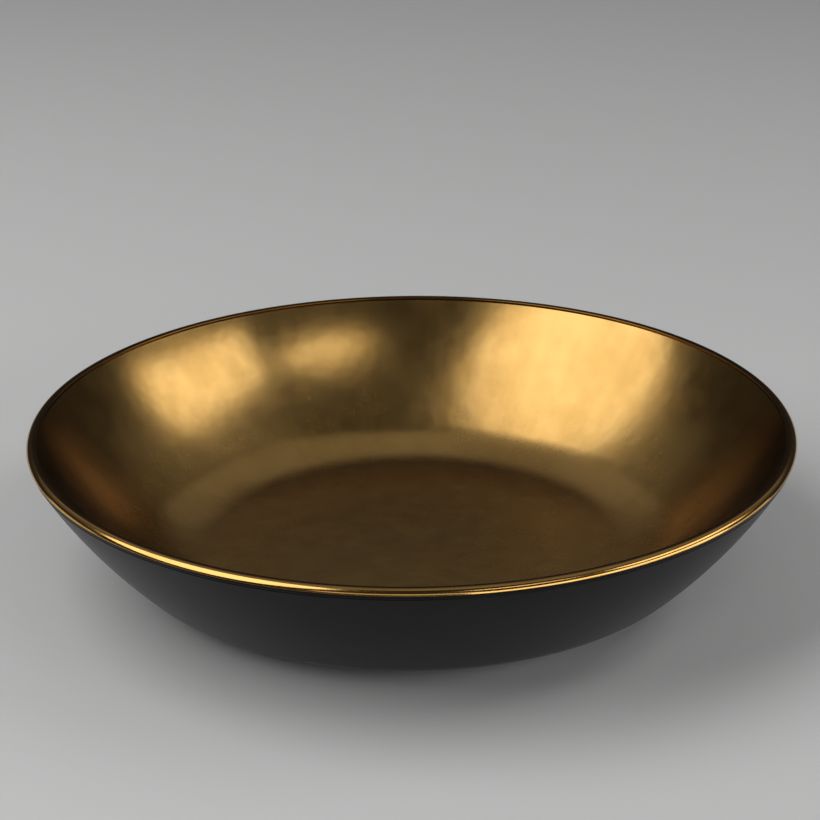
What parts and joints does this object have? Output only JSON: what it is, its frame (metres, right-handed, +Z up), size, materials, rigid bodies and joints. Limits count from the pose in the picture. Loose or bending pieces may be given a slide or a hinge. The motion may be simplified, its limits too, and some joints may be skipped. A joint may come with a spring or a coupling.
{
  "type": "bowl",
  "caption": "Wide shallow round bowl with a flat floor, rounded gilded lip, satin gold lining, matt black outside and low foot ring; holds and serves food.",
  "frame": {"origin": "centre of the foot ring's standing face", "axes": "+Z up along the axis that the bowl is turned about"},
  "size_m": [0.26, 0.26, 0.052],
  "materials": {
    "stoneware": "matte",
    "black_glaze": "matte",
    "satin_gold": "satin",
    "polished_gold": "polished"
  },
  "bodies": {
    "root": {"clay_body": "stoneware", "black_glaze": "black_glaze", "foot_well_glaze": "black_glaze", "gold_lining": "satin_gold", "rim_band": "polished_gold"}
  },
  "joints": []
}
